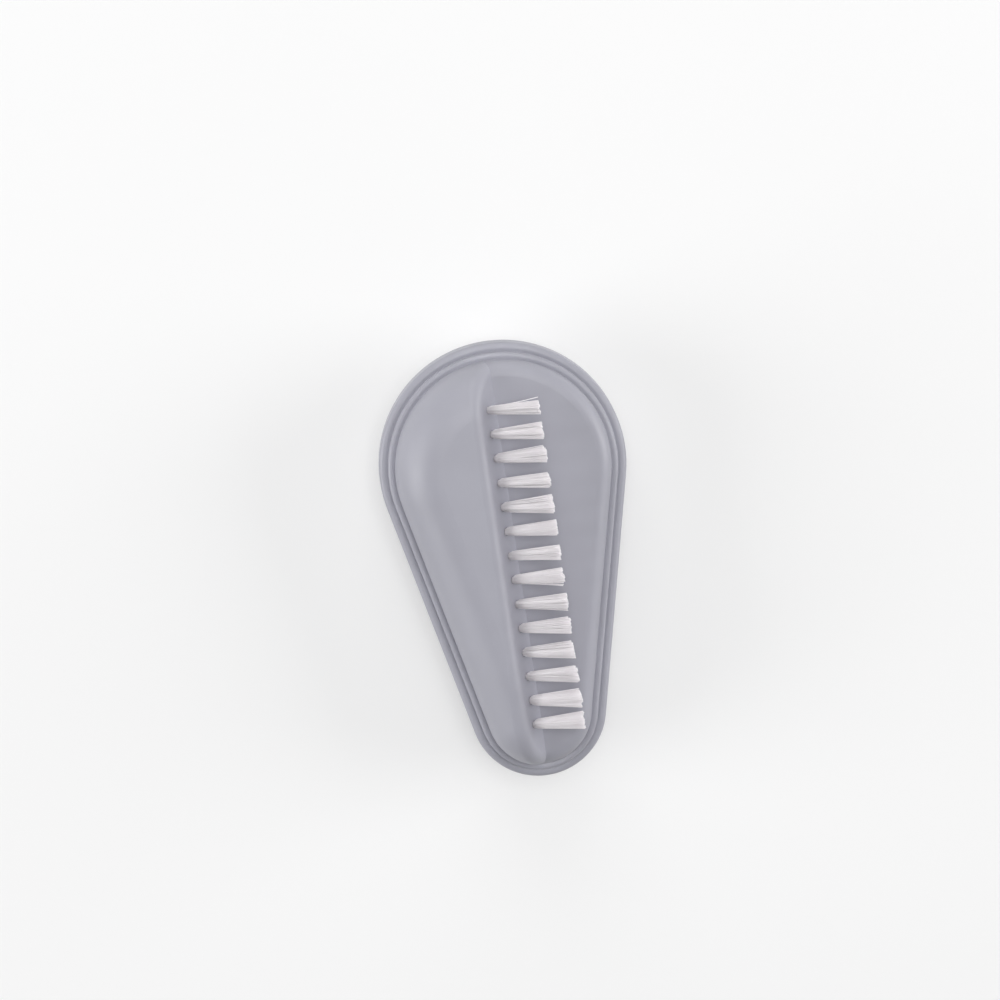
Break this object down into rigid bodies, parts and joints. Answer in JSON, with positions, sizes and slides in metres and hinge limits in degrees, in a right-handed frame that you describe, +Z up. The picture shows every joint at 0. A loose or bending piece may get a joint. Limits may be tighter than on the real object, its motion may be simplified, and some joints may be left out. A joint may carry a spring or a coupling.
{
  "type": "nail brush",
  "caption": "Teardrop hand nail brush: stepped grey plastic body, a raised ridge with a side row of white tufts, and a scrubbing bristle bed underneath.",
  "frame": {"origin": "under the middle of the outline, on the plane of the bed bristles' trimmed tips", "axes": "+Z up through the body, +Y along the brush towards its wide end, +X to the side that the ridge row points to"},
  "size_m": [0.0502, 0.09, 0.0315],
  "materials": {
    "body_plastic": "satin",
    "bristle_nylon": "satin",
    "anchor_wire": "drawn"
  },
  "bodies": {
    "root": {"tuft_plate": "body_plastic", "top_shell": "body_plastic", "row_tuft_01": "bristle_nylon", "row_tuft_02": "bristle_nylon", "row_tuft_03": "bristle_nylon", "row_tuft_04": "bristle_nylon", "row_tuft_05": "bristle_nylon", "row_tuft_06": "bristle_nylon", "row_tuft_07": "bristle_nylon", "row_tuft_08": "bristle_nylon", "row_tuft_09": "bristle_nylon", "row_tuft_10": "bristle_nylon", "row_tuft_11": "bristle_nylon", "row_tuft_12": "bristle_nylon", "row_tuft_13": "bristle_nylon", "row_tuft_14": "bristle_nylon", "row_anchors": "anchor_wire", "bed_tufts_row_01": "bristle_nylon", "bed_tufts_row_02": "bristle_nylon", "bed_tufts_row_03": "bristle_nylon", "bed_tufts_row_04": "bristle_nylon", "bed_tufts_row_05": "bristle_nylon", "bed_tufts_row_06": "bristle_nylon", "bed_tufts_row_07": "bristle_nylon", "bed_tufts_row_08": "bristle_nylon", "bed_tufts_row_09": "bristle_nylon", "bed_tufts_row_10": "bristle_nylon", "bed_tufts_row_11": "bristle_nylon", "bed_tufts_row_12": "bristle_nylon", "bed_tufts_row_13": "bristle_nylon", "bed_tufts_row_14": "bristle_nylon", "bed_tufts_row_15": "bristle_nylon", "bed_tufts_row_16": "bristle_nylon", "bed_anchors": "anchor_wire"}
  },
  "joints": []
}
